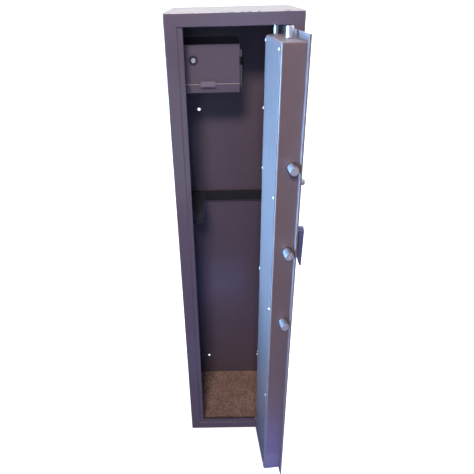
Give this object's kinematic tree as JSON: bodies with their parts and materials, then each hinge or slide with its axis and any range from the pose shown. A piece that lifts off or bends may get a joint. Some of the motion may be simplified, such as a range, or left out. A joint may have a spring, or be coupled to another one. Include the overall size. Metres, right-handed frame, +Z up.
{
  "type": "gun safe",
  "caption": "Tall narrow steel gun safe with a hinged door shown open, moving locking bolts, key lock, lever handle, lockable ammunition box, barrel rest and carpeted floor.",
  "frame": {"origin": "centre of the cabinet's underside, on the floor", "axes": "+Z up, +X to the right seen from the front, the front faces -Y and the wall fixings face +Y"},
  "size_m": [0.3509, 0.5388, 1.5],
  "materials": {
    "cabinet_paint": "fine hammered grey-blue enamel, semi-gloss",
    "door_paint": "glossy grey-blue enamel with a faint hammer texture",
    "zinc_steel": "zinc plated steel, dull",
    "bolt_chrome": "bright turned steel, chrome plated",
    "lock_nickel": "nickel plated",
    "handle_finish": "dark blue-black enamel, gloss",
    "bush_bronze": "oiled bronze",
    "rivet_aluminium": "white coated aluminium",
    "carpet": "short brown-grey pile",
    "rest_foam": "felt-faced dark foam"
  },
  "bodies": {
    "cabinet": {"side_panel_left": "cabinet_paint", "side_panel_right": "cabinet_paint", "rear_panel": "cabinet_paint", "top_panel": "cabinet_paint", "base_panel": "cabinet_paint", "frame_stile_left": "cabinet_paint", "frame_stile_right": "cabinet_paint", "frame_rail_top": "cabinet_paint", "frame_rail_bottom": "cabinet_paint", "hinge_bracket_top": "cabinet_paint", "hinge_bracket_bottom": "cabinet_paint", "hinge_spacer": "zinc_steel", "floor_carpet": "carpet", "barrel_rest_bracket_rear": "cabinet_paint", "barrel_rest_bracket_left": "cabinet_paint", "barrel_rest_foam_rear": "rest_foam", "barrel_rest_foam_left": "rest_foam", "ammo_box_base": "cabinet_paint", "ammo_box_top": "cabinet_paint", "ammo_box_side": "cabinet_paint", "ammo_box_jamb": "cabinet_paint", "ammo_hinge_leaf_fixed": "zinc_steel", "ammo_hinge_pin": "zinc_steel"},
    "door": {"door_plate": "door_paint", "door_hinge_return": "door_paint", "casing_wall_bolt_side": "door_paint", "casing_wall_hinge_side": "door_paint", "casing_wall_top": "door_paint", "casing_wall_bottom": "door_paint", "door_rear_cover": "door_paint", "cover_rivets": "rivet_aluminium", "hinge_blocks": "door_paint", "hinge_pins": "zinc_steel", "side_bolt_bushes": "bush_bronze", "end_bolt_bushes": "bush_bronze", "rod_guides": "zinc_steel", "bar_straps": "zinc_steel", "handle_rose": "handle_finish", "key_lock_barrel": "lock_nickel", "lock_case": "zinc_steel"},
    "handle": {"handle_lever": "handle_finish", "handle_spindle": "zinc_steel", "drive_cam": "zinc_steel"},
    "bolt_bar": {"bolt_bar": "zinc_steel", "bolt_lugs": "zinc_steel", "side_bolt_lower": "bolt_chrome", "side_bolt_middle": "bolt_chrome", "side_bolt_upper": "bolt_chrome"},
    "top_bolt": {"top_rod": "zinc_steel", "top_bolt": "bolt_chrome"},
    "bottom_bolt": {"bottom_rod": "zinc_steel", "bottom_bolt": "bolt_chrome"},
    "key_plug": {"key_lock_plug": "lock_nickel"},
    "lock_bolt": {"lock_bolt": "zinc_steel"},
    "ammo_door": {"ammo_box_door": "cabinet_paint", "ammo_pull_tab": "cabinet_paint", "ammo_hinge_leaf_moving": "zinc_steel", "ammo_lock_barrel": "lock_nickel"},
    "ammo_lock": {"ammo_lock_plug": "lock_nickel", "ammo_lock_cam": "zinc_steel"}
  },
  "joints": [
    {"name": "door_hinge", "type": "hinge", "parent": "cabinet", "child": "door", "pos_m": [0.106, -0.128, 0.75], "axis": [0, 0, 1], "range_deg": [-95.3, 9.7]},
    {"name": "handle_turn", "type": "hinge", "parent": "door", "child": "handle", "pos_m": [0.17496, -0.3084, 0.979], "axis": [0.9957, 0.0924, 0], "range_deg": [0, 90]},
    {"name": "bolt_bar_slide", "type": "slide", "parent": "door", "child": "bolt_bar", "axis": [-0.0924, 0.9957, 0], "range_m": [0, 0.031]},
    {"name": "top_bolt_slide", "type": "slide", "parent": "door", "child": "top_bolt", "axis": [0, 0, -1], "range_m": [0, 0.025]},
    {"name": "bottom_bolt_slide", "type": "slide", "parent": "door", "child": "bottom_bolt", "axis": [0, 0, 1], "range_m": [0, 0.025]},
    {"name": "key_turn", "type": "hinge", "parent": "door", "child": "key_plug", "pos_m": [0.1688, -0.30696, 1.118], "axis": [0.9957, 0.0924, 0], "range_deg": [-90, 0]},
    {"name": "lock_bolt_slide", "type": "slide", "parent": "door", "child": "lock_bolt", "axis": [0, 0, 1], "range_m": [0, 0.012]},
    {"name": "ammo_door_hinge", "type": "hinge", "parent": "cabinet", "child": "ammo_door", "pos_m": [0.0215, -0.0625, 1.355], "axis": [0, 0, 1], "range_deg": [0, 95]},
    {"name": "ammo_lock_turn", "type": "hinge", "parent": "ammo_door", "child": "ammo_lock", "pos_m": [-0.1085, -0.065, 1.378], "axis": [0, -1, 0], "range_deg": [-90, 0]}
  ],
  "couplings": [
    {"joint": "bolt_bar_slide", "follows": "handle_turn", "m_per_rad": 0.019735},
    {"joint": "top_bolt_slide", "follows": "handle_turn", "m_per_rad": 0.015915},
    {"joint": "bottom_bolt_slide", "follows": "handle_turn", "m_per_rad": 0.015915},
    {"joint": "lock_bolt_slide", "follows": "key_turn", "m_per_rad": -0.007639}
  ]
}
